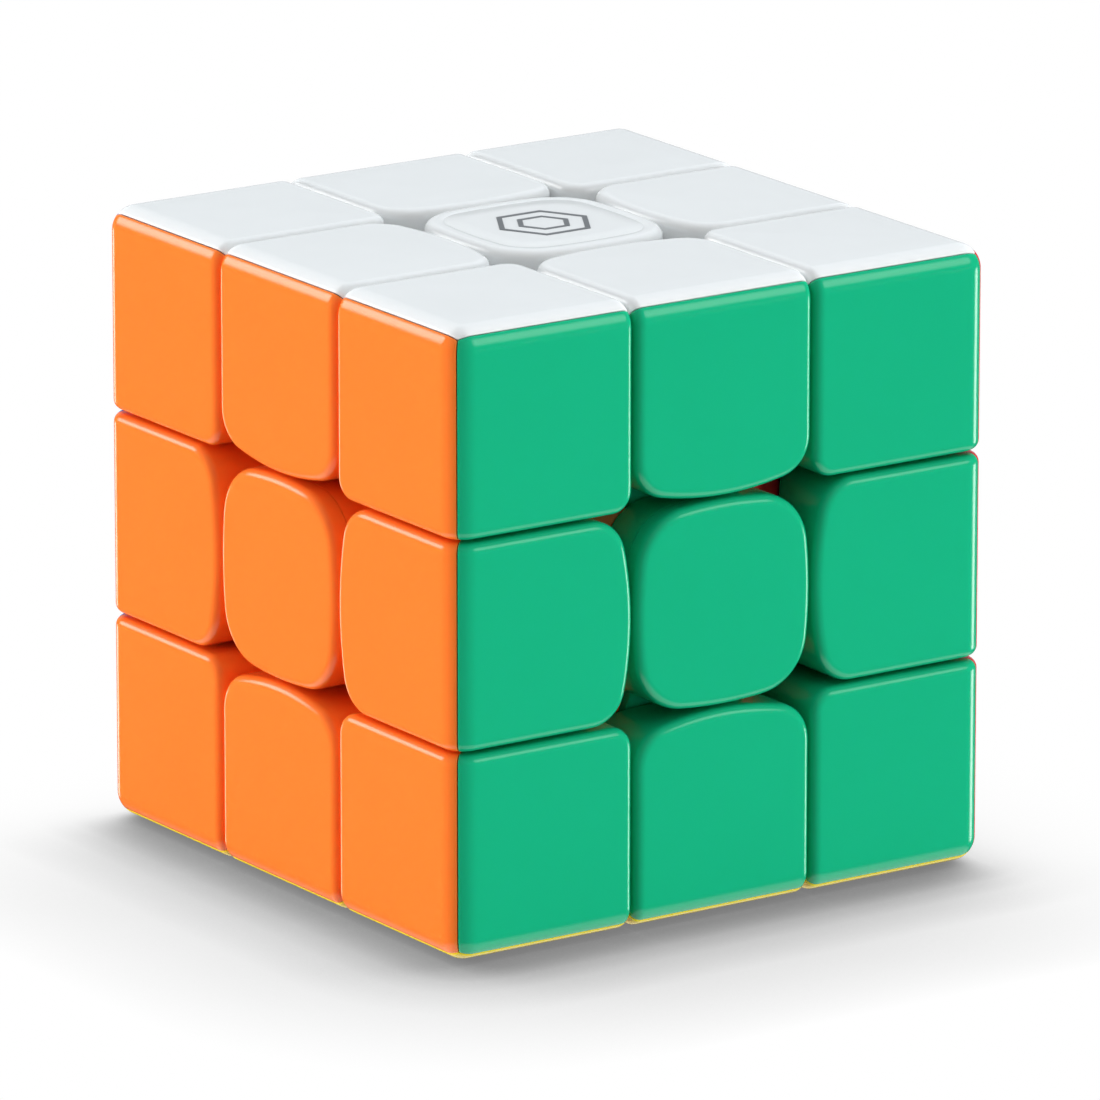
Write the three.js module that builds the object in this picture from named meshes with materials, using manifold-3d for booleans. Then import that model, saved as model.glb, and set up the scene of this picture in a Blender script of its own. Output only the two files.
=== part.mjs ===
// A 3x3x3 twisty puzzle cube, stickerless, built the way the real one is assembled:
// a six-armed core, a screw, a spring, a centre and a cap on each arm, twelve two-colour
// edges moulded as two halves, and eight corners. Millimetres, +Z up, origin at the middle
// of the core. White is up (+Z), green is the front (-Y) and orange is the left (-X).
//
// Every wall that slides in a turn is either a plane square to a face's axis or a sphere
// about the origin, so any face turns through any angle without touching its neighbours.

import * as THREE from 'three';
import { mergeVertices } from 'three/addons/utils/BufferGeometryUtils.js';
import Module from 'manifold-3d';

const wasm = await Module();
wasm.setup();

// Driving dimensions.
const SIZE = 56;              // across two opposite faces
const GAP = 0.3;              // clearance between neighbouring pieces
const WALL = 1.5;             // moulded wall of a hollow piece

// Rounding, as radii.
const OUTER_ROUND = 2.3;      // along the cube's twelve long edges
const TILE_ROUND = 0.9;       // where a tile turns down into a gap
const INNER_ROUND = 2.0;      // corner tile's corner that points at the centre
const EDGE_BOW = 30;          // edge tile's side that faces the centre
const EDGE_ROUND = 3.6;       // edge tile's two corners on that side
const CENTRE_BOW = 40;        // centre tile's four sides
const CENTRE_ROUND = 5.2;     // centre tile's four corners

// The mechanism, in layers from the outside in.
const TRACK = 24.5;           // sphere that the centres, edges and corners slide on
const FOOT_INSIDE = 19.6;     // inner sphere of the edges' and corners' feet
const FOOT_CUT = 6;           // plane between two feet, from the origin

// Each arm of the core, along its axis from the origin.
const HUB_RADIUS = 6.4;
const ARM_RADIUS = 3.8;
const ARM_END = 10.7;
const THREAD_RADIUS = 1.6;
const THREAD_BOTTOM = 4.2;
const SCREW_RADIUS = 1.3;
const HEAD_RADIUS = 3.1;
const HEAD_UNDER = 19.6;
const HEAD_HEIGHT = 1.9;
const RECESS_DEPTH = 1.1;
const RECESS_WIDTH = 0.8;
const RECESS_LENGTH = 3.8;
const STEM_RADIUS = 5.4;
const STEM_FLOOR = 1.5;
const STEM_HOLE_RADIUS = 1.9;
const WELL_RADIUS = 4.1;
const SPRING_RADIUS = 2.5;
const SPRING_WIRE = 0.4;
const SPRING_TURNS = 4;
const SPRING_STEPS = 10;      // straight lengths in one turn of the wire
const WIRE_SIDES = 5;
const CAP_THICKNESS = 2;
const PLUG_DEPTH = 1.3;

// Worked out from the dimensions above.
const HALF = SIZE / 2;
const NEAR = SIZE / 6 + GAP / 2;              // inner wall of an outer layer
const MID = SIZE / 6 - GAP / 2;               // half width of a middle layer
const FOOT_NEAR = FOOT_CUT + GAP / 2;
const FOOT_MID = FOOT_CUT - GAP / 2;
const STEM_END = ARM_END + GAP;
const CAP_UNDER = HALF - CAP_THICKNESS;
const BEYOND = SIZE;                          // longer than anything it cuts

// How much larger a faceted ball of each detail is drawn so that its facets clear the true sphere.
const BALL_SWELL = { 2: 1.024, 3: 1.0135 };

// The six arms of the core, as turns in degrees about X and Y that take +Z to each of them.
const ARM_TURNS = [[0, 0], [90, 0], [180, 0], [270, 0], [0, 90], [0, 270]];

// ---------------------------------------------------------------- outlines

// Points along an arc, both ends included. Angles are in turns.
function arc(x, y, radius, from, to, steps) {
  const points = [];
  for (let i = 0; i <= steps; i += 1) {
    const angle = 2 * Math.PI * (from + (to - from) * i / steps);
    points.push(new THREE.Vector2(x + radius * Math.cos(angle), y + radius * Math.sin(angle)));
  }
  return points;
}

const mirrored = (points) => points.map((p) => new THREE.Vector2(-p.x, p.y)).reverse();

// Square from low to high, anticlockwise, with the radii of its inner, two side and outer corners.
function squareOutline(low, high, inner, side, outer) {
  return [
    ...arc(low + inner, low + inner, inner, 0.5, 0.75, 3),
    ...arc(high - side, low + side, side, 0.75, 1, 2),
    ...arc(high - outer, high - outer, outer, 0, 0.25, 4),
    ...arc(low + side, high - side, side, 0.25, 0.5, 2),
  ];
}

// Edge tile, symmetric about x = 0, with its bowed side at y = NEAR.
function edgeOutline() {
  const x = MID - EDGE_ROUND;
  const reach = EDGE_BOW - EDGE_ROUND;
  const y = NEAR + EDGE_BOW - Math.sqrt(reach * reach - x * x);
  const turn = Math.asin(x / reach) / (2 * Math.PI);
  const bow = arc(0, NEAR + EDGE_BOW, EDGE_BOW, 0.75, 0.75 + turn, 2).slice(1, -1);
  const round = arc(x, y, EDGE_ROUND, 0.75 + turn, 1, 4);
  const top = arc(MID - TILE_ROUND, HALF - TILE_ROUND, TILE_ROUND, 0, 0.25, 2);
  const right = [...bow, ...round, ...top];
  return [new THREE.Vector2(0, NEAR), ...right, ...mirrored(right)];
}

// Centre tile: a square with bowed sides and round corners, drawn one quarter at a time.
function centreOutline(inset = 0) {
  const half = MID - inset;
  const bow = CENTRE_BOW - inset;
  const round = CENTRE_ROUND - inset;
  const reach = bow - round;
  const offset = bow - half;
  const c = (-offset + Math.sqrt(2 * reach * reach - offset * offset)) / 2;
  const turn = Math.asin(c / reach) / (2 * Math.PI);
  const points = [];
  for (let quarter = 0; quarter < 4; quarter += 1) {
    const side = arc(-offset, 0, bow, 0, turn, 2).slice(0, -1);
    const corner = arc(c, c, round, turn, 0.25 - turn, 4);
    const next = arc(0, -offset, bow, 0.25 - turn, 0.25, 2).slice(1, -1);
    for (const p of [...side, ...corner, ...next]) {
      points.push(p.rotateAround(new THREE.Vector2(), quarter * Math.PI / 2));
    }
  }
  return points;
}

// ------------------------------------------------------------------ solids

// A closed geometry as a manifold-3d solid, with its faces turned outwards.
function solid(geometry) {
  const bare = geometry.clone();
  bare.deleteAttribute('normal');
  bare.deleteAttribute('uv');
  const merged = mergeVertices(bare, 1e-4);
  const at = (i) => new THREE.Vector3().fromBufferAttribute(merged.attributes.position, i);
  const index = merged.index.array;
  const triangles = [];
  let volume = 0;
  for (let i = 0; i < index.length; i += 3) {
    const [a, b, c] = [index[i], index[i + 1], index[i + 2]];
    if (a !== b && b !== c && c !== a) {
      triangles.push([a, b, c]);
      volume += at(a).dot(at(b).cross(at(c)));
    }
  }
  const outward = triangles.map((t) => (volume < 0 ? t.reverse() : t));
  return new wasm.Manifold(new wasm.Mesh({
    numProp: 3,
    vertProperties: merged.attributes.position.array,
    triVerts: new Uint32Array(outward.flat()),
  }));
}

function asGeometry(manifold) {
  const mesh = manifold.getMesh();
  const geometry = new THREE.BufferGeometry();
  geometry.setAttribute('position', new THREE.BufferAttribute(mesh.vertProperties, 3));
  geometry.setIndex(new THREE.BufferAttribute(mesh.triVerts, 1));
  return geometry;
}

// An outline in the XY plane, extruded along Z. `along` then turns it to run along X or Y:
// along X it reads as (y, z), along Y as (x, z).
function prism(points, from, to, along = 'z') {
  const shape = new THREE.Shape(points);
  const geometry = new THREE.ExtrudeGeometry(shape, { depth: to - from, bevelEnabled: false });
  geometry.translate(0, 0, from);
  if (along === 'x') {
    geometry.applyMatrix4(new THREE.Matrix4().makeBasis(
      new THREE.Vector3(0, 1, 0), new THREE.Vector3(0, 0, 1), new THREE.Vector3(1, 0, 0)));
  }
  if (along === 'y') {
    geometry.applyMatrix4(new THREE.Matrix4().makeBasis(
      new THREE.Vector3(1, 0, 0), new THREE.Vector3(0, 0, 1), new THREE.Vector3(0, -1, 0)));
  }
  return solid(geometry);
}

function box(low, high) {
  const size = high.map((value, i) => value - low[i]);
  const geometry = new THREE.BoxGeometry(...size);
  return solid(geometry.translate(...high.map((value, i) => (value + low[i]) / 2)));
}

// An upright cylinder on the Z axis.
function rod(radius, from, to, sides) {
  const geometry = new THREE.CylinderGeometry(radius, radius, to - from, sides);
  geometry.rotateX(Math.PI / 2);
  return solid(geometry.translate(0, 0, (from + to) / 2));
}

// A faceted ball that stays inside its radius, or, when it is `around`, one that holds it all.
function ball(radius, detail, around = false) {
  const drawn = around ? radius * BALL_SWELL[detail] : radius;
  return solid(new THREE.IcosahedronGeometry(drawn, detail));
}

const trackOutside = () => ball(TRACK + GAP / 2, 3, true);
const trackInside = () => ball(TRACK - GAP / 2, 3);
const footHollow = () => ball(FOOT_INSIDE, 2, true);

// ------------------------------------------------------------------ pieces
// Each is made once, about the +Z axis, in the (+Y, +Z) edge or in the (+X, +Y, +Z) corner.

// Half of an edge: the half that carries the tile on +Z. The parting plane is y = z.
function edgeHalf() {
  const outline = edgeOutline();
  const section = squareOutline(NEAR, HALF, INNER_ROUND, TILE_ROUND, OUTER_ROUND);
  const block = prism(outline, 0, BEYOND)
    .intersect(prism(outline, -BEYOND, 0, 'y'))
    .intersect(prism(section, -BEYOND, BEYOND, 'x'));
  const pocketSide = MID - WALL;
  const pocketLow = NEAR + 2 * WALL;
  const pocketHigh = HALF - WALL;
  const pocket = box([-pocketSide, pocketLow, pocketLow], [pocketSide, pocketHigh, pocketHigh])
    .subtract(ball(TRACK + WALL, 2, true));
  const shell = block.subtract(trackOutside()).subtract(pocket);
  const foot = box([-FOOT_MID, FOOT_NEAR, FOOT_NEAR], [FOOT_MID, BEYOND, BEYOND])
    .intersect(trackInside())
    .subtract(footHollow());
  const neck = box([-FOOT_MID, NEAR, NEAR], [FOOT_MID, BEYOND, BEYOND])
    .intersect(ball(TRACK + WALL, 2))
    .subtract(ball(TRACK - WALL, 2));
  const lift = GAP / Math.SQRT2;
  const parting = prism([
    new THREE.Vector2(0, lift),
    new THREE.Vector2(BEYOND, BEYOND + lift),
    new THREE.Vector2(0, BEYOND + lift),
  ], -BEYOND, BEYOND, 'x');
  return shell.add(foot).add(neck).intersect(parting);
}

// A corner: a hollow block, its foot, and a bore up the diagonal that opens the hollow.
function corner() {
  const outline = squareOutline(NEAR, HALF, INNER_ROUND, TILE_ROUND, OUTER_ROUND);
  const block = prism(outline, 0, BEYOND)
    .intersect(prism(outline, -BEYOND, 0, 'y'))
    .intersect(prism(outline, 0, BEYOND, 'x'));
  const low = NEAR + WALL;
  const high = HALF - WALL;
  const pocket = box([low, low, low], [high, high, high]).subtract(ball(TRACK + WALL, 2, true));
  const foot = box([FOOT_NEAR, FOOT_NEAR, FOOT_NEAR], [BEYOND, BEYOND, BEYOND])
    .intersect(trackInside())
    .subtract(footHollow());
  const neck = box([NEAR, NEAR, NEAR], [BEYOND, BEYOND, BEYOND])
    .intersect(ball(TRACK + WALL, 2))
    .subtract(ball(TRACK - WALL, 2));
  const diagonal = new THREE.Quaternion().setFromUnitVectors(
    new THREE.Vector3(0, 0, 1), new THREE.Vector3(1, 1, 1).normalize());
  const boreGeometry = new THREE.CylinderGeometry(2 * WALL, 2 * WALL, 2 * TRACK - FOOT_INSIDE, 8);
  boreGeometry.rotateX(Math.PI / 2).translate(0, 0, TRACK).applyQuaternion(diagonal);
  return block.subtract(trackOutside()).subtract(pocket)
    .add(foot).add(neck).subtract(solid(boreGeometry));
}

// A centre: the block under the cap, and the stem that turns on the screw.
function centre() {
  const block = prism(centreOutline(), 0, CAP_UNDER - GAP).subtract(trackOutside());
  const stem = rod(STEM_RADIUS, STEM_END, CAP_UNDER - GAP, 16);
  const well = rod(WELL_RADIUS, STEM_END + STEM_FLOOR, HALF, 16);
  const hole = rod(STEM_HOLE_RADIUS, 0, HALF, 8);
  return block.add(stem).subtract(well).subtract(hole);
}

// A cap: the coloured tile with its rounded rim, and a plug for the centre's well.
function cap() {
  const shape = new THREE.Shape(centreOutline(TILE_ROUND));
  const tile = new THREE.ExtrudeGeometry(shape, {
    depth: CAP_THICKNESS - TILE_ROUND,
    bevelThickness: TILE_ROUND,
    bevelSize: TILE_ROUND,
    bevelSegments: 1,
  });
  const plate = solid(tile.translate(0, 0, CAP_UNDER)).intersect(
    box([-BEYOND, -BEYOND, CAP_UNDER], [BEYOND, BEYOND, BEYOND]));
  return plate.add(rod(WELL_RADIUS - GAP, CAP_UNDER - PLUG_DEPTH, CAP_UNDER + WALL / 2, 16));
}

// The core: a hub with six arms, each with a blind hole for its screw.
function core() {
  let body = ball(HUB_RADIUS, 1);
  let holes = null;
  for (const [x, y] of ARM_TURNS) {
    const hole = rod(THREAD_RADIUS, THREAD_BOTTOM, BEYOND, 6).rotate([x, y, 0]);
    body = body.add(rod(ARM_RADIUS, 0, ARM_END, 10).rotate([x, y, 0]));
    holes = holes === null ? hole : holes.add(hole);
  }
  return body.subtract(holes);
}

// A screw: shank and pan head, with a cross recess.
function screw() {
  const top = HEAD_UNDER + HEAD_HEIGHT;
  const shank = rod(SCREW_RADIUS, THREAD_BOTTOM + GAP, HEAD_UNDER + GAP, 8);
  const head = rod(HEAD_RADIUS, HEAD_UNDER, top, 12);
  const long = RECESS_LENGTH / 2;
  const wide = RECESS_WIDTH / 2;
  const deep = top - RECESS_DEPTH;
  const recess = box([-long, -wide, deep], [long, wide, HALF])
    .add(box([-wide, -long, deep], [wide, long, HALF]));
  return shank.add(head).subtract(recess);
}

class Helix extends THREE.Curve {
  constructor(radius, from, to, turns) {
    super();
    Object.assign(this, { radius, from, to, turns });
  }

  getPoint(t, target = new THREE.Vector3()) {
    const angle = 2 * Math.PI * this.turns * t;
    const z = this.from + (this.to - this.from) * t;
    return target.set(this.radius * Math.cos(angle), this.radius * Math.sin(angle), z);
  }
}

// A spring: one helix of wire between the stem's floor and the screw's head.
function spring() {
  const low = STEM_END + STEM_FLOOR + GAP + SPRING_WIRE;
  const high = HEAD_UNDER - GAP - SPRING_WIRE;
  const section = new THREE.Shape(arc(0, 0, SPRING_WIRE, 0, 1 - 1 / WIRE_SIDES, WIRE_SIDES - 1));
  return solid(new THREE.ExtrudeGeometry(section, {
    steps: SPRING_STEPS * SPRING_TURNS,
    extrudePath: new Helix(SPRING_RADIUS, low, high, SPRING_TURNS),
  }));
}

// ---------------------------------------------------------------- materials

function plastic(color) {
  return new THREE.MeshStandardMaterial({ color, roughness: 0.22, metalness: 0 });
}

const steel = new THREE.MeshStandardMaterial({ color: 0xb4b6b8, roughness: 0.35, metalness: 1 });
const coreNylon = new THREE.MeshStandardMaterial({ color: 0x3a3c40, roughness: 0.6, metalness: 0 });

const FACES = {
  up: { axis: [0, 0, 1], colour: 'white', material: plastic(0xe9edf0) },
  down: { axis: [0, 0, -1], colour: 'yellow', material: plastic(0xf6dc2e) },
  front: { axis: [0, -1, 0], colour: 'green', material: plastic(0x1cb282) },
  back: { axis: [0, 1, 0], colour: 'blue', material: plastic(0x1c62d0) },
  right: { axis: [1, 0, 0], colour: 'red', material: plastic(0xd8262f) },
  left: { axis: [-1, 0, 0], colour: 'orange', material: plastic(0xff8f40) },
};

// ----------------------------------------------------------------- assembly

const cube = new THREE.Group();

// Adds a copy of a piece, turned so that its own X, Y and Z point along the three given axes.
function place(name, geometry, material, xAxis, yAxis, zAxis) {
  const mesh = new THREE.Mesh(geometry, material);
  const turn = new THREE.Matrix4().makeBasis(xAxis, yAxis, zAxis);
  mesh.name = name;
  mesh.quaternion.setFromRotationMatrix(turn);
  cube.add(mesh);
}

const axisOf = (face) => new THREE.Vector3(...FACES[face].axis);

// A piece made about +Z with its side towards +Y, moved to `face` with its side towards `side`.
function placeOn(name, geometry, material, face, side) {
  const z = axisOf(face);
  const y = axisOf(side);
  place(name, geometry, material, y.clone().cross(z), y, z);
}

function addArms() {
  const pieces = {
    centre: asGeometry(centre()),
    cap: asGeometry(cap()),
    screw: asGeometry(screw()),
    spring: asGeometry(spring()),
  };
  for (const face of Object.keys(FACES)) {
    const side = FACES[face].axis[2] === 0 ? 'up' : 'front';
    const { material } = FACES[face];
    placeOn(`centre_${face}`, pieces.centre, material, face, side);
    placeOn(`cap_${face}`, pieces.cap, material, face, side);
    placeOn(`screw_${face}`, pieces.screw, steel, face, side);
    placeOn(`spring_${face}`, pieces.spring, steel, face, side);
  }
}

function addEdges() {
  const half = asGeometry(edgeHalf());
  const pairs = [];
  for (const level of ['up', 'down']) {
    for (const side of ['front', 'back', 'right', 'left']) {
      pairs.push([level, side]);
    }
  }
  for (const level of ['front', 'back']) {
    for (const side of ['right', 'left']) {
      pairs.push([level, side]);
    }
  }
  for (const [a, b] of pairs) {
    placeOn(`edge_${a}_${b}_${FACES[a].colour}`, half, FACES[a].material, a, b);
    placeOn(`edge_${a}_${b}_${FACES[b].colour}`, half, FACES[b].material, b, a);
  }
}

function addCorners() {
  const geometry = asGeometry(corner());
  for (const level of ['up', 'down']) {
    for (const depth of ['front', 'back']) {
      for (const side of ['right', 'left']) {
        const x = axisOf(side);
        const y = axisOf(depth);
        const z = axisOf(level);
        const rightHanded = x.clone().cross(y).dot(z) > 0;
        const [first, second] = rightHanded ? [x, y] : [y, x];
        place(`corner_${level}_${depth}_${side}`, geometry, FACES[level].material, first, second, z);
      }
    }
  }
}

const origin = [new THREE.Vector3(1, 0, 0), new THREE.Vector3(0, 1, 0), new THREE.Vector3(0, 0, 1)];
place('core', asGeometry(core()), coreNylon, ...origin);
addArms();
addEdges();
addCorners();

export default cube;
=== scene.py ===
"""Looks of a stickerless 3x3x3 twisty puzzle cube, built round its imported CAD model. Metres, +Z up."""
import math

import bmesh
import bpy
from mathutils import Matrix, Vector


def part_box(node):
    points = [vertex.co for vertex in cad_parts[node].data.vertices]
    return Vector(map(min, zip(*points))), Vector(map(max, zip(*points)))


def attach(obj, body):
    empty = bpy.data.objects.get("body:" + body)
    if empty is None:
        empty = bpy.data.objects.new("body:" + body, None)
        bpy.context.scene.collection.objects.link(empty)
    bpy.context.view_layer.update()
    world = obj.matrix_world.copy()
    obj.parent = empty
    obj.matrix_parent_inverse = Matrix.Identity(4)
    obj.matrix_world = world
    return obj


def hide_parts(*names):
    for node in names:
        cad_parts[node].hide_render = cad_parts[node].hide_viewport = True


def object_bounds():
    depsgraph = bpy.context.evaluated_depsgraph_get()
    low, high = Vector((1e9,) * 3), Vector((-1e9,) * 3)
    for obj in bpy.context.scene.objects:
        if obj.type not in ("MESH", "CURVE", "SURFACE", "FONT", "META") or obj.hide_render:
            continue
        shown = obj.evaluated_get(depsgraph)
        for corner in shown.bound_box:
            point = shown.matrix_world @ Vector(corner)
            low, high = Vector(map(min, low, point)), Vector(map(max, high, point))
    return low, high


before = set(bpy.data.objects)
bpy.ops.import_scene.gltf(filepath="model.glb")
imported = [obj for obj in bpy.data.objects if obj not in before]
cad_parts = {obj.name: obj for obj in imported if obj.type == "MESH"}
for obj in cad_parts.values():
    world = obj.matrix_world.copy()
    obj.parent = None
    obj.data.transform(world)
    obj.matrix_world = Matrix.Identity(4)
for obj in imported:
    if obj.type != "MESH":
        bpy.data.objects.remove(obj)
cad_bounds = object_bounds()

MM = 0.001

# ---- sizes, worked out from the frame where it holds them
HALF = cad_bounds[1].z                      # centre to face
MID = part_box("cap_up")[1].x                 # half width of a middle-layer tile
NEAR = 2 * HALF / 3 - MID                   # inner wall of an outer-layer tile
CAP_UNDER = HALF - 2.0 * MM                 # underside of a centre cap
OUTER_ROUND = 2.3 * MM                      # along the cube's twelve edges
TILE_ROUND = 0.9 * MM                       # tile's rim, where it turns down into a gap
INNER_ROUND = 2.0 * MM                      # corner tile's corner towards the centre
EDGE_BOW = 30 * MM                          # edge tile's side towards the centre
EDGE_ROUND = 3.6 * MM                       # edge tile's corners on that side
CENTRE_BOW = 40 * MM                        # centre tile's sides
CENTRE_ROUND = 5.2 * MM                     # centre tile's corners
CROWN = 0.04 * MM                           # how far a tile's middle stands proud
SEAM_GAP = 0.035 * MM                       # half the line between two colours
SEAM_LIP = 0.13 * MM                        # rounding on each side of that line
TRACK = 24.65 * MM                          # sphere under the blocks
FOOT_TOP = 24.35 * MM                       # sphere on top of the feet
FOOT_UNDER = 19.7 * MM
FOOT_NEAR = 6.15 * MM                       # feet's planes, from the middle of the cube
FOOT_MID = 5.85 * MM
FOOT_ROUND = 0.35 * MM
FOOT_PARTING = 0.1 * MM                     # between the two halves of an edge's foot
NECK_LAP = 1 * MM                           # how far a neck runs into the foot and the block
EDGE_NECK = NEAR + 0.6 * MM                 # near side of an edge's neck
CORNER_NECK = NEAR + 1 * MM                 # near sides of a corner's neck
STEM_RADIUS = 5.4 * MM
STEM_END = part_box("centre_up")[0].z
STEM_CHAMFER = 0.3 * MM
WELL_RADIUS = 4.1 * MM                      # well for the spring and the screw's head
WELL_FLOOR = 1.5 * MM                       # thickness of its floor
SCREW_HOLE = 1.9 * MM
CAP_GAP = 0.06 * MM                         # between a cap and its centre
PLUG_RADIUS = 3.8 * MM                      # under a cap, which plugs into the well
PLUG_LENGTH = 1.3 * MM
GROOVE = 1.7 * MM                           # fine line round the printed cap, from its wall
GROOVE_HALF = 0.10 * MM                     # half its width
GROOVE_DEPTH = 0.05 * MM
PRINT = (HALF - 0.02 * MM, HALF + CROWN + 0.012 * MM)   # printed mark, from its root to its top
MARK_RADII = (4.6 * MM, 2.6 * MM)           # of its two outlines
MARK_WIDTH = 0.55 * MM

FLAT = HALF - OUTER_ROUND                   # where a face starts to round over
REACH = FLAT + OUTER_ROUND * math.pi / 4 - SEAM_GAP   # the seam, along the unrolled face

FACES = {
    "up": ("white", (0, 0, 1)),
    "down": ("yellow", (0, 0, -1)),
    "front": ("green", (0, -1, 0)),
    "back": ("blue", (0, 1, 0)),
    "right": ("red", (1, 0, 0)),
    "left": ("orange", (-1, 0, 0)),
}


def colour_of(face):
    return FACES[face][0]


def axis_of(face):
    return Vector(FACES[face][1])


# ---- camera

def add_camera():
    """A long lens, a little above the cube, that sees the front, left and upper faces."""
    azimuth, elevation, distance = math.radians(-34.07), math.radians(15.3), 1.0
    lens, sensor = 371.7, 36.0
    back = Vector((math.sin(azimuth) * math.cos(elevation),
                   -math.cos(azimuth) * math.cos(elevation),
                   math.sin(elevation)))
    data = bpy.data.cameras.new("camera")
    data.lens, data.sensor_width = lens, sensor
    data.shift_x, data.shift_y = 0.006, -0.0163
    data.clip_start, data.clip_end = 0.05, 20
    camera = bpy.data.objects.new("camera", data)
    camera.location = back * distance
    camera.rotation_mode = "QUATERNION"
    camera.rotation_quaternion = (-back).to_track_quat("-Z", "Y")
    bpy.context.scene.collection.objects.link(camera)
    bpy.context.scene.camera = camera


# ---- materials

CLOUD_SCALE, GLOSS_SCALE, GRAIN_SCALE = 90, 420, 2600      # of the plastics' noises, per metre
CLOUD_SHADE = 0.955                         # how dark the clouds in the colour are
GLOSS_RANGE = (0.86, 1.16)                  # how far the roughness wanders, as shares of it
BUMP_DEPTH = 0.02 * MM
STEEL_CLOUD_SCALE, STEEL_GLOSS_SCALE, STEEL_MARK_SCALE = 350, 900, 1800


def socket(shader, name, value):
    shader.inputs[name].default_value = value


def noise_between(nodes, links, coordinates, scale, detail, low, high):
    """A noise field, remapped from low to high."""
    noise = nodes.new("ShaderNodeTexNoise")
    noise.inputs["Scale"].default_value = scale
    noise.inputs["Detail"].default_value = detail
    remap = nodes.new("ShaderNodeMapRange")
    remap.inputs["To Min"].default_value = low
    remap.inputs["To Max"].default_value = high
    links.new(coordinates, noise.inputs["Vector"])
    links.new(noise.outputs["Fac"], remap.inputs["Value"])
    return remap.outputs["Result"]


def moulded_plastic(name, colour, roughness, depth=0.0, grain=0.06):
    """Injection-moulded plastic: faint cloudiness in the colour, an uneven gloss and a fine skin."""
    material = bpy.data.materials.new(name)
    material.use_nodes = True
    nodes, links = material.node_tree.nodes, material.node_tree.links
    shader = nodes["Principled BSDF"]
    coordinates = nodes.new("ShaderNodeTexCoord").outputs["Object"]
    cloud = noise_between(nodes, links, coordinates, CLOUD_SCALE, 3, 0, 1)
    mix = nodes.new("ShaderNodeMix")
    mix.data_type = "RGBA"
    mix.inputs["A"].default_value = (*[c * CLOUD_SHADE for c in colour], 1)
    mix.inputs["B"].default_value = (*colour, 1)
    links.new(cloud, mix.inputs["Factor"])
    links.new(mix.outputs["Result"], shader.inputs["Base Color"])
    low, high = [roughness * share for share in GLOSS_RANGE]
    gloss = noise_between(nodes, links, coordinates, GLOSS_SCALE, 4, low, high)
    links.new(gloss, shader.inputs["Roughness"])
    skin = nodes.new("ShaderNodeBump")
    skin.inputs["Strength"].default_value = grain
    skin.inputs["Distance"].default_value = BUMP_DEPTH
    links.new(noise_between(nodes, links, coordinates, GRAIN_SCALE, 3, 0, 1), skin.inputs["Height"])
    links.new(skin.outputs["Normal"], shader.inputs["Normal"])
    socket(shader, "IOR", 1.52)
    socket(shader, "Subsurface Weight", depth)
    socket(shader, "Subsurface Radius", [0.15 + c for c in colour])
    socket(shader, "Subsurface Scale", 1 * MM)
    return material


def turned_steel(name):
    """Bright machined steel with fine turning marks and uneven polish."""
    material = bpy.data.materials.new(name)
    material.use_nodes = True
    nodes, links = material.node_tree.nodes, material.node_tree.links
    shader = nodes["Principled BSDF"]
    coordinates = nodes.new("ShaderNodeTexCoord").outputs["Object"]
    polish = noise_between(nodes, links, coordinates, STEEL_GLOSS_SCALE, 4, 0.22, 0.42)
    links.new(polish, shader.inputs["Roughness"])
    marks = nodes.new("ShaderNodeTexWave")
    marks.inputs["Scale"].default_value = STEEL_MARK_SCALE
    marks.inputs["Distortion"].default_value = 1.5
    links.new(coordinates, marks.inputs["Vector"])
    bump = nodes.new("ShaderNodeBump")
    bump.inputs["Strength"].default_value = 0.15
    bump.inputs["Distance"].default_value = BUMP_DEPTH
    links.new(marks.outputs["Fac"], bump.inputs["Height"])
    links.new(bump.outputs["Normal"], shader.inputs["Normal"])
    mix = nodes.new("ShaderNodeMix")
    mix.data_type = "RGBA"
    mix.inputs["A"].default_value = (0.40, 0.41, 0.43, 1)
    mix.inputs["B"].default_value = (0.56, 0.57, 0.58, 1)
    links.new(noise_between(nodes, links, coordinates, STEEL_CLOUD_SCALE, 2, 0, 1), mix.inputs["Factor"])
    links.new(mix.outputs["Result"], shader.inputs["Base Color"])
    socket(shader, "Metallic", 1.0)
    return material


PLASTICS = {
    "white": (0.805, 0.815, 0.815),
    "yellow": (0.90, 0.68, 0.03),
    "green": (0.006, 0.440, 0.215),
    "blue": (0.012, 0.115, 0.60),
    "red": (0.66, 0.016, 0.022),
    "orange": (0.98, 0.205, 0.028),
}
CORE_GREY = (0.045, 0.048, 0.055)
PRINT_GREY = (0.16, 0.17, 0.18)
MATERIALS = {name: moulded_plastic(name + "_abs", rgb, roughness=0.17, depth=0.3)
             for name, rgb in PLASTICS.items()}
MATERIALS["core_plastic"] = moulded_plastic("core_nylon", CORE_GREY, roughness=0.5, grain=0.1)
MATERIALS["steel"] = turned_steel("steel")
MATERIALS["print"] = moulded_plastic("grey_print", PRINT_GREY, roughness=0.45, grain=0.2)


# ---- mesh building

MERGE = 0.002 * MM                          # points closer than this are one
CREASE = math.radians(40)                   # edges bent more than this stay sharp
BOW_STEPS = 6                               # along each half of a bowed side
CORNER_STEPS = 12                           # round a tile's corner


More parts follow.
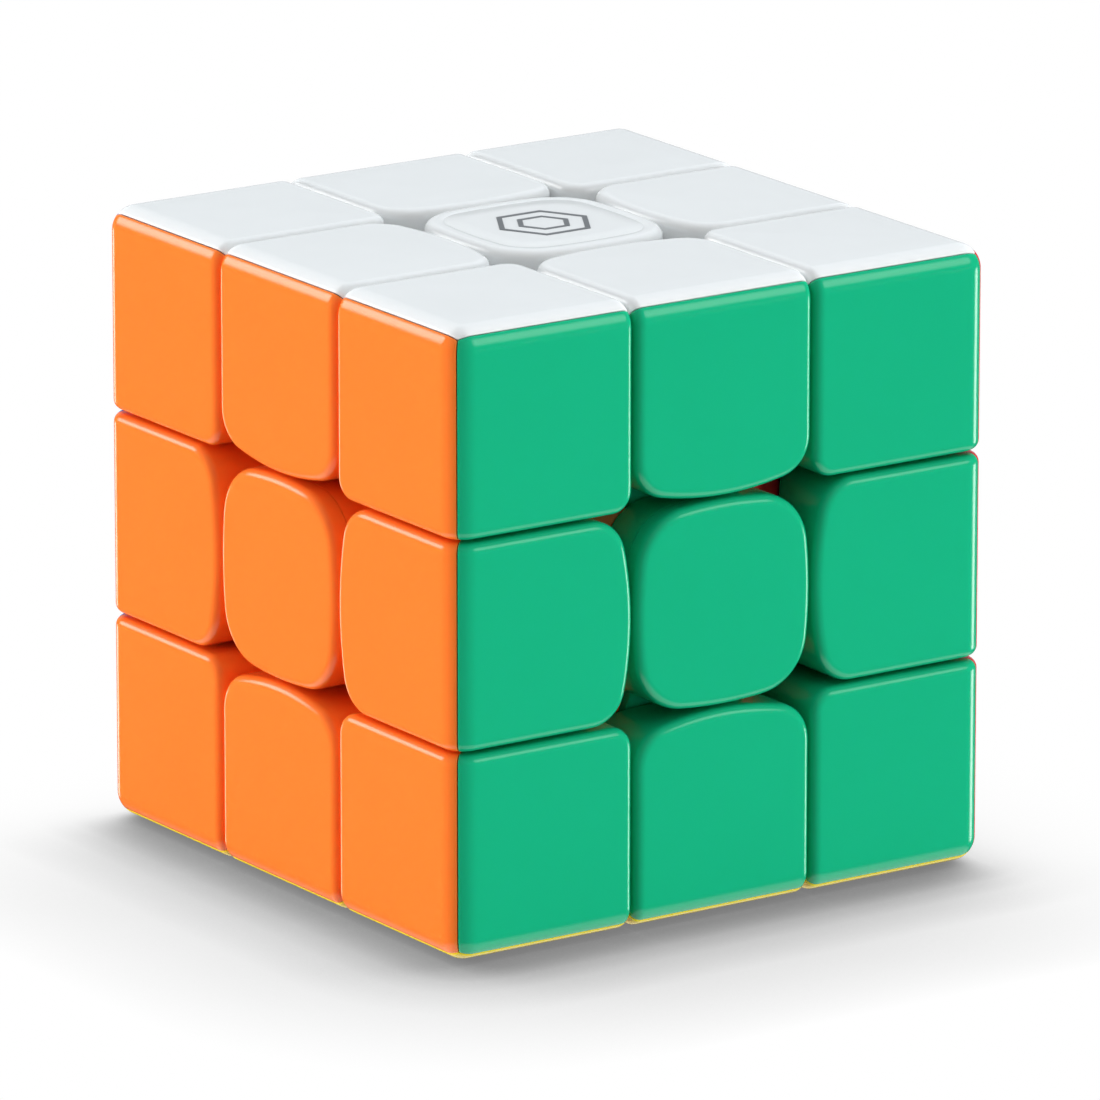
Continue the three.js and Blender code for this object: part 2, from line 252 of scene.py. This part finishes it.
class Skin:
    """Vertices and faces of one piece."""

    def __init__(self):
        self.points = []
        self.faces = []

    def add(self, points):
        start = len(self.points)
        self.points += [tuple(p) for p in points]
        return list(range(start, len(self.points)))

    def band(self, first, second, closed=False):
        count = len(first)
        for i in range(count if closed else count - 1):
            j = (i + 1) % count
            self.faces.append((first[i], first[j], second[j], second[i]))

    def fan(self, loop, point, closed=True):
        hub = self.add([point])[0]
        for i in range(len(loop) if closed else len(loop) - 1):
            self.faces.append((loop[i], loop[(i + 1) % len(loop)], hub))

    def fill(self, loop, shaped, steps=4):
        """Closes a loop with shrinking rings; `shaped` places a point of each, given its share out."""
        centre = sum((Vector(self.points[i]) for i in loop), Vector()) / len(loop)
        outer = loop
        for k in range(steps - 1, 0, -1):
            share = k / steps
            ring = self.add(shaped(centre.lerp(Vector(self.points[i]), share), share) for i in loop)
            self.band(outer, ring, closed=True)
            outer = ring
        self.fan(outer, shaped(centre, 0))

    def object(self, name, turn, material):
        """The piece as an object, turned by `turn`, with outward faces and smooth shading."""
        mesh = bpy.data.meshes.new(name)
        mesh.from_pydata([turn @ Vector(p) for p in self.points], [], self.faces)
        shape = bmesh.new()
        shape.from_mesh(mesh)
        bmesh.ops.remove_doubles(shape, verts=shape.verts, dist=MERGE)
        bmesh.ops.recalc_face_normals(shape, faces=shape.faces)
        shape.to_mesh(mesh)
        shape.free()
        mesh.materials.append(material)
        mesh.shade_smooth()
        mesh.set_sharp_from_angle(angle=CREASE)
        made = bpy.data.objects.new(name, mesh)
        bpy.context.scene.collection.objects.link(made)
        return made


def turned_to(face, side):
    """The turn that takes +Z to one face and +Y to another."""
    z, y = axis_of(face), axis_of(side)
    return Matrix((y.cross(z), y, z)).transposed()


def arc(x, y, radius, start, end, steps):
    """(point, outward normal) pairs along an arc, with angles in degrees."""
    pairs = []
    for i in range(steps + 1):
        angle = math.radians(start + (end - start) * i / steps)
        normal = Vector((math.cos(angle), math.sin(angle)))
        pairs.append((Vector((x, y)) + normal * radius, normal))
    return pairs


# ---- the cube's rounded outside

def envelope(u, v, drop=0.0):
    """A point of the +Z face's outside, where u and v run along the surface from its middle."""
    tilt = [math.copysign(math.tan(max(0.0, abs(c) - FLAT) / OUTER_ROUND), c) for c in (u, v)]
    normal = Vector((*tilt, 1)).normalized()
    base = Vector((max(-FLAT, min(FLAT, u)), max(-FLAT, min(FLAT, v)), FLAT))
    return base + normal * (OUTER_ROUND - drop)


def round_over(distance, radius):
    """How far a rounded rim has dropped, at a distance in from its wall."""
    left = max(0.0, radius - distance)
    return radius - math.sqrt(max(0.0, radius * radius - left * left))


def surface(u, v, drop=0.0):
    """The envelope, with the small rounding at each seam between two colours."""
    lip = sum(round_over(REACH - abs(c), SEAM_LIP) for c in (u, v))
    return envelope(u, v, drop + lip)


RIM_STEPS = 9
RIM = [TILE_ROUND * (1 - math.cos(math.pi / 2 * k / RIM_STEPS)) for k in range(RIM_STEPS + 1)]
RIM.append(TILE_ROUND + 0.25 * MM)          # a ring that keeps the rim's shading crisp
OVER_STEPS = 8
OVER = [FLAT + (REACH - SEAM_LIP - FLAT) * k / OVER_STEPS for k in range(OVER_STEPS + 1)]
OVER += [REACH - SEAM_LIP * (1 - math.sin(math.pi / 2 * k / 3)) for k in range(1, 4)]


def rim_rings(skin, wall):
    """Rings from the wall's top, in over the rim. `wall` is (point, outward normal) pairs."""
    rings = []
    for inset in RIM:
        drop = round_over(inset, TILE_ROUND)
        rings.append(skin.add(surface(*(point - normal * inset), drop) for point, normal in wall))
    for a, b in zip(rings, rings[1:]):
        skin.band(a, b)
    return rings


def crowned(point, share):
    """A point of a flat tile, lifted towards the tile's middle."""
    return point + Vector((0, 0, CROWN * (1 - share ** 2) ** 2))


def under(x, y, radius=TRACK):
    """The point of a sphere about the origin over (x, y)."""
    return Vector((x, y, math.sqrt(radius * radius - x * x - y * y)))


def side_samples(x, normal, start):
    """A straight side wall, from its rounded end out to the seam."""
    rows = [start + (FLAT - start) * k / 4 for k in range(1, 4)] + OVER
    return [(Vector((x, v)), normal) for v in rows]


TURN_SHARE = 0.3                            # of a side wall's samples, where its foot turns up


def side_foot(x, start, share):
    """Lower edge of a side wall: along the track, then up the parting plane to the seam."""
    radius = math.sqrt(TRACK ** 2 - x * x)
    lowest = math.asin(start / radius)
    if share < TURN_SHARE:
        angle = lowest + (math.pi / 4 - lowest) * share / TURN_SHARE
        return Vector((x, radius * math.sin(angle), radius * math.cos(angle)))
    low = radius / math.sqrt(2)
    high = surface(x, REACH, TILE_ROUND).z
    z = low + (high - low) * (share - TURN_SHARE) / (1 - TURN_SHARE)
    return Vector((x, z, z))


def drop_walls(skin, top, lower, levels=4):
    """Side walls from the rim down to `lower`, one point for each sample."""
    previous = top
    for k in range(1, levels + 1):
        ring = [Vector(skin.points[t]).lerp(low, k / levels) for t, low in zip(top, lower)]
        current = skin.add(ring)
        skin.band(previous, current)
        previous = current
    return previous


def foot_of_wall(wall, count, x, start):
    """The lower edge under every sample of a wall with `count` straight samples at each end."""
    lower = []
    for i, (point, _) in enumerate(wall):
        from_end = min(i, len(wall) - 1 - i)
        if from_end < count:
            lower.append(side_foot(math.copysign(x, point.x), start, 1 - from_end / count))
        else:
            lower.append(under(point.x, point.y))
    return lower


def edge_skin():
    """Half of an edge: its +Z tile and its walls. The seam is towards +Y."""
    skin = Skin()
    x = MID - EDGE_ROUND
    reach = EDGE_BOW - EDGE_ROUND
    y = NEAR + EDGE_BOW - math.sqrt(reach ** 2 - x * x)
    turn = math.degrees(math.asin(x / reach))
    bow = arc(0, NEAR + EDGE_BOW, EDGE_BOW, -90, -90 + turn, BOW_STEPS)
    side = side_samples(MID, Vector((1, 0)), y)
    right = bow + arc(x, y, EDGE_ROUND, -90 + turn, 0, CORNER_STEPS)[1:] + side
    left = [(Vector((-p.x, p.y)), Vector((-n.x, n.y))) for p, n in reversed(right[1:])]
    wall = left + right
    rings = rim_rings(skin, wall)
    inner, rows = rings[-1], len(OVER)
    width = 6
    strip = []
    for k in range(rows):
        start, end = Vector(skin.points[inner[k]]), Vector(skin.points[inner[-1 - k]])
        v = OVER[rows - 1 - k]
        between = [surface(start.x + (end.x - start.x) * i / width, v) for i in range(1, width)]
        strip.append([inner[k]] + skin.add(between) + [inner[-1 - k]])
    for a, b in zip(strip, strip[1:]):
        skin.band(a, b)
    flat = inner[rows - 1:len(inner) - rows + 1] + strip[-1][-2:0:-1]
    skin.fill(flat, crowned)
    bottom = drop_walls(skin, rings[0], foot_of_wall(wall, len(side), MID, y))
    seam = strip[0][1:-1]
    loop = bottom + [ring[-1] for ring in rings[:-1]][1:] + [inner[-1]] + seam[::-1]
    loop += [ring[0] for ring in reversed(rings)][:-1]
    close_under(skin, loop)
    return skin


UNDER_INSET = 0.12                          # of the way in to the middle


def close_under(skin, loop):
    """Closes the underside: a ring a little inside the walls, then a fan to the middle."""
    rim = [Vector(skin.points[i]) for i in loop]
    middle = sum(rim, Vector()) / len(rim)
    inset = skin.add(p.lerp(middle, UNDER_INSET) for p in rim)
    skin.band(loop, inset, closed=True)
    skin.fan(inset, middle)


def corner_skin():
    """A third of a corner: its +Z tile and its walls. The seams are towards +X and +Y."""
    skin = Skin()
    low = NEAR + INNER_ROUND
    side = side_samples(NEAR, Vector((-1, 0)), low)
    along = [(Vector((p.y, p.x)), Vector((0, -1))) for p, _ in side]
    wall = side[::-1] + arc(low, low, INNER_ROUND, 180, 270, 8) + along
    rings = rim_rings(skin, wall)
    inner, rows = rings[-1], len(OVER)
    inner_low = skin.points[inner[len(side) // 2]][0]
    width = 4
    over_y, over_x = [], []
    for k in range(rows):
        v = OVER[k]
        steps = [inner_low + (FLAT - inner_low) * i / width for i in range(1, width)]
        over_y.append([inner[rows - 1 - k]] + skin.add(surface(u, v) for u in steps))
        over_x.append([inner[len(inner) - rows + k]] + skin.add(surface(v, u) for u in steps))
    patch = [skin.add(surface(u, v) for u in OVER) for v in OVER]
    for k in range(rows):
        over_y[k].append(patch[k][0])
        over_x[k].append(patch[0][k])
    for strip in (over_y, over_x, patch):
        for a, b in zip(strip, strip[1:]):
            skin.band(a, b)
    flat = inner[rows - 1:len(inner) - rows + 1] + over_x[0][1:] + over_y[0][-2:0:-1]
    skin.fill(flat, crowned)
    bottom = drop_walls(skin, rings[0], corner_foot(wall, len(side), low))
    loop = bottom + [ring[-1] for ring in rings[1:]] + over_x[-1][1:] + [row[-1] for row in patch[1:]]
    loop += patch[-1][-2::-1] + over_y[-1][-2:0:-1] + [ring[0] for ring in reversed(rings)][:-1]
    close_under(skin, loop)
    return skin


def corner_foot(wall, count, start):
    """The lower edge under every sample of a corner's wall, whose straight ends face two ways."""
    lower = []
    for i, (point, _) in enumerate(wall):
        from_end = min(i, len(wall) - 1 - i)
        if from_end < count:
            foot = side_foot(NEAR, start, 1 - from_end / count)
            lower.append(foot if i < count else Vector((foot.y, foot.x, foot.z)))
        else:
            lower.append(under(point.x, point.y))
    return lower


def centre_quarters():
    """(point, outward normal) pairs round a centre tile, anticlockwise."""
    reach = CENTRE_BOW - CENTRE_ROUND
    offset = CENTRE_BOW - MID
    c = (-offset + math.sqrt(2 * reach * reach - offset * offset)) / 2
    turn = math.degrees(math.asin(c / reach))
    pairs = []
    for quarter in range(4):
        rise = Matrix.Rotation(math.pi / 2 * quarter, 2)
        points = arc(-offset, 0, CENTRE_BOW, 0, turn, BOW_STEPS)[:-1]
        points += arc(c, c, CENTRE_ROUND, turn, 90 - turn, CORNER_STEPS)
        points += arc(0, -offset, CENTRE_BOW, 90 - turn, 90, BOW_STEPS)[1:-1]
        pairs += [(rise @ p, rise @ n) for p, n in points]
    return pairs


def ring_stack(skin, outline, levels):
    """Closed rings of an outline at (inset, height) pairs, joined up."""
    rings = [skin.add((*(p - n * inset), z) for p, n in outline) for inset, z in levels]
    for a, b in zip(rings, rings[1:]):
        skin.band(a, b, closed=True)
    return rings


def cap_skin(lined):
    """A centre cap: rounded rim, a fine groove round the field if it is `lined`, and a plug."""
    skin = Skin()
    outline = centre_quarters()
    levels = [(0, CAP_UNDER)]
    levels += [(inset, HALF - round_over(inset, TILE_ROUND)) for inset in RIM]
    if lined:
        levels += [(GROOVE - GROOVE_HALF, HALF), (GROOVE, HALF - GROOVE_DEPTH)]
        levels += [(GROOVE + GROOVE_HALF, HALF)]
    rings = ring_stack(skin, outline, levels)
    skin.fill(rings[-1], crowned)
    plug = [n * PLUG_RADIUS for _, n in outline]
    root = skin.add((p.x, p.y, CAP_UNDER) for p in plug)
    skin.band(root, rings[0], closed=True)
    tip = skin.add((p.x, p.y, CAP_UNDER - PLUG_LENGTH) for p in plug)
    skin.band(tip, root, closed=True)
    skin.fan(tip, Vector((0, 0, CAP_UNDER - PLUG_LENGTH)))
    return skin


def centre_skin():
    """A centre under its cap: the block, and the stem with the well for the spring and screw."""
    skin = Skin()
    outline = centre_quarters()
    top = CAP_UNDER - CAP_GAP
    track = skin.add(under(*p) for p, _ in outline)
    walls = ring_stack(skin, outline, [(0, top)])[0]
    skin.band(track, walls, closed=True)
    rounds = [n for _, n in outline]

    def circle(radius, z):
        return skin.add((*(n * radius), z) for n in rounds)

    floor = STEM_END + WELL_FLOOR
    profile = [(WELL_RADIUS, top), (WELL_RADIUS, floor), (SCREW_HOLE, floor), (SCREW_HOLE, STEM_END),
               (STEM_RADIUS - STEM_CHAMFER, STEM_END), (STEM_RADIUS, STEM_END + STEM_CHAMFER)]
    rings = [circle(r, z) for r, z in profile]
    rings.append(skin.add(under(*(n * STEM_RADIUS)) for n in rounds))
    last = walls
    for ring in rings:
        skin.band(last, ring, closed=True)
        last = ring
    skin.band(last, track, closed=True)
    return skin


# ---- feet, by which the blocks hold on behind their neighbours

def spherical_slab(skin, corners_at, low, high, steps=8):
    """A closed piece between two spheres. `corners_at` gives its corners' directions at a radius."""
    def grid(radius):
        a, b, c, d = corners_at(radius)
        middle = (a + b + c + d) / 4
        shrink = 2 * FOOT_ROUND / radius
        rows = []
        for i in range(steps + 1):
            s = i / steps
            row = []
            for j in range(steps + 1):
                t = j / steps
                towards = a.lerp(b, t).lerp(d.lerp(c, t), s).lerp(middle, shrink)
                row.append(towards.normalized() * radius)
            rows.append(skin.add(row))
        return rows

    def rim(rows):
        inside = rows[1:-1]
        return rows[0] + [row[-1] for row in inside] + rows[-1][::-1] + [row[0] for row in inside[::-1]]

    def outline(radius):
        corners, points = corners_at(radius), []
        for i in range(4):
            start, end = corners[i], corners[(i + 1) % 4]
            points += [start.lerp(end, t / steps).normalized() * radius for t in range(steps)]
        return skin.add(points)

    top, bottom = grid(high), grid(low)
    for rows in (top, bottom):
        for first, second in zip(rows, rows[1:]):
            skin.band(first, second)
    loops = [rim(top), outline(high - FOOT_ROUND), outline(low + FOOT_ROUND), rim(bottom)]
    for first, second in zip(loops, loops[1:]):
        skin.band(first, second, closed=True)


def direction(x, y, radius):
    """Towards the point of a sphere over (x, y)."""
    return under(x, y, radius).normalized()


def parting(radius):
    """How far out an edge's foot reaches at a radius, just short of the plane between its halves."""
    return (math.sqrt(radius ** 2 - FOOT_MID ** 2) - FOOT_PARTING) / math.sqrt(2)


def edge_foot():
    """The half of an edge's foot on the +Z side of the parting plane."""
    def corners_at(radius):
        seam = parting(radius)
        places = [(-FOOT_MID, FOOT_NEAR), (FOOT_MID, FOOT_NEAR), (FOOT_MID, seam), (-FOOT_MID, seam)]
        return [direction(x, y, radius) for x, y in places]

    skin = Skin()
    spherical_slab(skin, corners_at, FOOT_UNDER, FOOT_TOP)
    seam = parting(FOOT_TOP)
    neck(skin, [(-FOOT_MID, EDGE_NECK), (FOOT_MID, EDGE_NECK), (FOOT_MID, seam), (-FOOT_MID, seam)])
    return skin


def neck(skin, outline):
    """An upright post that joins a block to its foot."""
    low = skin.add(under(x, y, FOOT_TOP - NECK_LAP) for x, y in outline)
    high = skin.add(under(x, y, TRACK + NECK_LAP) for x, y in outline)
    skin.band(low, high, closed=True)
    skin.faces += [tuple(reversed(low)), tuple(high)]


def corner_foot_third():
    """The third of a corner's foot on its +Z side."""
    def corners_at(radius):
        level = math.sqrt((radius ** 2 - FOOT_NEAR ** 2) / 2)
        return [direction(FOOT_NEAR, FOOT_NEAR, radius), direction(level, FOOT_NEAR, radius),
                Vector((1, 1, 1)).normalized(), direction(FOOT_NEAR, level, radius)]

    skin = Skin()
    spherical_slab(skin, corners_at, FOOT_UNDER, FOOT_TOP)
    seam = FOOT_TOP / math.sqrt(3)
    neck(skin, [(CORNER_NECK, CORNER_NECK), (seam, CORNER_NECK), (seam, seam), (CORNER_NECK, seam)])
    return skin


def emblem_skin():
    """A plain printed mark for the white cap: two hexagon outlines, one inside the other."""
    skin = Skin()
    root, top = PRINT
    for radius in MARK_RADII:
        inner = radius - MARK_WIDTH
        loops = []
        for r, z in ((radius, root), (radius, top), (inner, top), (inner, root)):
            corners = [(r * math.cos(math.pi / 3 * k), r * math.sin(math.pi / 3 * k)) for k in range(6)]
            loops.append(skin.add((x, y, z) for x, y in corners))
        for first, second in zip(loops, loops[1:] + loops[:1]):
            skin.band(first, second, closed=True)
    return skin


# ---- assembly

def put(name, skin, turn, slot, body, node, material=None):
    """Makes a piece that rides on a body in place of a CAD node."""
    piece = skin.object(name, turn, MATERIALS[material or slot])
    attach(piece, body)
    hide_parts(node)


def add_edges():
    tile, foot = edge_skin(), edge_foot()
    pairs = [(level, side) for level in ("up", "down") for side in ("front", "back", "right", "left")]
    pairs += [(level, side) for level in ("front", "back") for side in ("right", "left")]
    for pair in pairs:
        for face, side in (pair, pair[::-1]):
            body = "edge_" + "_".join(pair)
            node = body + "_" + colour_of(face)
            turn = turned_to(face, side)
            put("tile_" + node, tile, turn, colour_of(face), body, node)
            put("foot_" + node, foot, turn, colour_of(face), body, node)


def add_corners():
    tile, foot = corner_skin(), corner_foot_third()
    for level in ("up", "down"):
        for depth in ("front", "back"):
            for side in ("right", "left"):
                body = f"corner_{level}_{depth}_{side}"
                for face in (level, depth, side):
                    others = [axis_of(f) for f in (level, depth, side) if f != face]
                    if others[0].cross(others[1]).dot(axis_of(face)) < 0:
                        others.reverse()
                    turn = Matrix((others[0], others[1], axis_of(face))).transposed()
                    inside = level if face == level else side
                    put(f"tile_{body}_{face}", tile, turn, colour_of(face), body, body)
                    put(f"foot_{body}_{face}", foot, turn, colour_of(inside), body, body)


def add_centres():
    centre = centre_skin()
    for face in FACES:
        side = "front" if face in ("up", "down") else "up"
        turn = turned_to(face, side)
        cap = cap_skin(lined=face == "up")
        put("tile_centre_" + face, cap, turn, colour_of(face), "centre_" + face, "cap_" + face)
        put("stem_centre_" + face, centre, turn, colour_of(face), "centre_" + face, "centre_" + face)
    turn = turned_to("up", "front")
    put("mark_up", emblem_skin(), turn, "white", "centre_up", "cap_up", material="print")


def dress_core():
    """Gives the CAD's own core, screws and springs their materials."""
    for name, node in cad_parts.items():
        if name.startswith(("core", "screw", "spring")):
            slot = "core_plastic" if name == "core" else "steel"
            node.data.materials.clear()
            node.data.materials.append(MATERIALS[slot])


# ---- stage

FLOOR_GAP = 0.06 * MM                       # between the cube and the floor
FLOOR_SIZE = 6
FLOOR_GREY = (0.3, 0.3, 0.3, 1)             # of the light that it throws back on the cube
# The floor's shadow is painted: ambient occlusion darkens the glow that the camera sees, and the lamps
# cast no shadow on it.
SHADE_FROM = (0.54, 0.80, 0.0)              # the shade on the floor falls away from here
SHADE_REACHES = (5 * MM, 8 * MM, 14 * MM, 30 * MM)      # contact shade, then softer and wider ones
SHADE_DEPTH = 0.6                           # power of each


def painted_floor_shadow(nodes, links):
    """Painted shadow on the floor: how bright its glow is, the product of the open shares found within
    each reach.
    """
    lean = nodes.new("ShaderNodeCombineXYZ")
    for axis, part in zip("XYZ", Vector(SHADE_FROM).normalized()):
        lean.inputs[axis].default_value = part
    total = None
    for reach in SHADE_REACHES:
        shade, deepen = nodes.new("ShaderNodeAmbientOcclusion"), nodes.new("ShaderNodeMath")
        shade.inputs["Distance"].default_value = reach
        deepen.operation = "POWER"
        deepen.inputs[1].default_value = SHADE_DEPTH
        links.new(lean.outputs[0], shade.inputs["Normal"])
        links.new(shade.outputs["AO"], deepen.inputs[0])
        if total:
            product = nodes.new("ShaderNodeMath")
            product.operation = "MULTIPLY"
            links.new(total, product.inputs[0])
            links.new(deepen.outputs[0], product.inputs[1])
            total = product.outputs[0]
        else:
            total = deepen.outputs[0]
    return total


def add_floor():
    """A pale table that glows evenly white right to the horizon for the camera, with soft grey painted
    shadow, from ambient occlusion, where the cube shades it.
    """
    bpy.ops.mesh.primitive_plane_add(size=FLOOR_SIZE, location=(0, 0, -HALF - FLOOR_GAP))
    floor = bpy.context.object
    floor.name = "floor"
    floor.visible_glossy = False
    floor.visible_shadow = False
    material = bpy.data.materials.new("paper_painted_shadow")
    material.use_nodes = True
    nodes, links = material.node_tree.nodes, material.node_tree.links
    nodes.remove(nodes["Principled BSDF"])
    seen, thrown = nodes.new("ShaderNodeEmission"), nodes.new("ShaderNodeBsdfDiffuse")
    seen.inputs["Color"].default_value = (1, 1, 1, 1)
    thrown.inputs["Color"].default_value = FLOOR_GREY
    choose, path = nodes.new("ShaderNodeMixShader"), nodes.new("ShaderNodeLightPath")
    # the camera sees the floor as a white glow, dimmed by this painted shadow
    links.new(painted_floor_shadow(nodes, links), seen.inputs["Strength"])
    links.new(path.outputs["Is Camera Ray"], choose.inputs[0])
    links.new(thrown.outputs[0], choose.inputs[1])
    links.new(seen.outputs[0], choose.inputs[2])
    links.new(choose.outputs[0], nodes["Material Output"].inputs["Surface"])
    floor.data.materials.append(material)


# What the gloss mirrors: (towards, full within degrees, gone beyond degrees, radiance).
PANELS = (
    ((0.54, 0.80, 0.26), 15, 40, 0.36),     # backdrop
    ((0.54, -0.66, 0.52), 5, 17, 2.4),      # softbox above the front
    ((-0.47, 0.80, 0.37), 3, 16, 5.0),      # softbox above the back
    ((0.98, -0.20, -0.27), 5, 11, 6.5),     # strip on the right
    ((-0.10, 0.99, -0.27), 4, 10, 3.5),     # strip on the left
    ((0.0, 0.0, -1.0), 45, 58, 1.1),        # table
)


def add_panels(nodes, links, dim):
    """The room's brightness in a mirrored direction: `dim` for each panel, with the panels' own added."""
    direction = nodes.new("ShaderNodeTexCoord").outputs["Generated"]
    total = None
    for towards, full, gone, radiance in PANELS:
        along = nodes.new("ShaderNodeVectorMath")
        along.operation = "DOT_PRODUCT"
        along.inputs[1].default_value = Vector(towards).normalized()
        links.new(direction, along.inputs[0])
        panel = nodes.new("ShaderNodeMapRange")
        panel.interpolation_type = "SMOOTHSTEP"
        panel.inputs["From Min"].default_value = math.cos(math.radians(gone))
        panel.inputs["From Max"].default_value = math.cos(math.radians(full))
        panel.inputs["To Max"].default_value = radiance
        links.new(along.outputs["Value"], panel.inputs["Value"])
        add = nodes.new("ShaderNodeMath")
        add.inputs[1].default_value = dim
        links.new(panel.outputs["Result"], add.inputs[0])
        if total:
            links.new(total, add.inputs[1])
        total = add.outputs[0]
    return total


def add_sky(nodes, links, low, high):
    """The matt fill in a direction: `low` from the sides and below, rising to `high` overhead."""
    split = nodes.new("ShaderNodeSeparateXYZ")
    links.new(nodes.new("ShaderNodeTexCoord").outputs["Generated"], split.inputs[0])
    rise = nodes.new("ShaderNodeMapRange")
    rise.interpolation_type = "SMOOTHSTEP"
    rise.inputs["To Min"].default_value = low
    rise.inputs["To Max"].default_value = high
    links.new(split.outputs["Z"], rise.inputs["Value"])
    return rise.outputs["Result"]


def add_world(low, high, dim):
    """White behind the cube, a soft sky for matt shading, and a dim room with panels for the gloss."""
    world = bpy.data.worlds.new("studio")
    world.use_nodes = True
    nodes, links = world.node_tree.nodes, world.node_tree.links
    background, path = nodes["Background"], nodes.new("ShaderNodeLightPath")
    gloss, seen = nodes.new("ShaderNodeMix"), nodes.new("ShaderNodeMix")
    links.new(add_sky(nodes, links, low, high), gloss.inputs["A"])
    seen.inputs["B"].default_value = 1.0
    links.new(path.outputs["Is Glossy Ray"], gloss.inputs["Factor"])
    links.new(add_panels(nodes, links, dim), gloss.inputs["B"])
    links.new(path.outputs["Is Camera Ray"], seen.inputs["Factor"])
    links.new(gloss.outputs["Result"], seen.inputs["A"])
    links.new(seen.outputs["Result"], background.inputs["Strength"])
    background.inputs["Color"].default_value = (1, 1, 1, 1)
    bpy.context.scene.world = world


def place_light(name, data, towards, distance):
    light = bpy.data.objects.new(name, data)
    place = Vector(towards).normalized() * distance
    light.location = place
    light.rotation_mode = "QUATERNION"
    light.rotation_quaternion = (-place).to_track_quat("-Z", "Y")
    light.visible_camera = False
    bpy.context.scene.collection.objects.link(light)
    return light


def add_fill(name, towards, level, spread, colour=(1, 1, 1)):
    """A wide distant light for the matt part of the shading. A white surface facing it shows `level`."""
    data = bpy.data.lights.new(name, "SUN")
    data.energy, data.angle, data.color = level * math.pi, math.radians(spread), colour
    place_light(name, data, towards, 1).visible_glossy = False


def light_studio():
    add_world(low=0.28, high=1.05, dim=0.05)
    add_fill("overhead", (0.55, 0.42, 0.72), 0.58, 50, (0.84, 0.98, 1.08))
    add_fill("fill_left", (-0.79, 0.59, -0.15), 1.30, 35)
    add_fill("fill_right", (0.59, -0.79, -0.15), 0.91, 35)
    bpy.context.scene.view_settings.view_transform = "Standard"


add_camera()
add_floor()
light_studio()
add_edges()
add_corners()
add_centres()
dress_core()
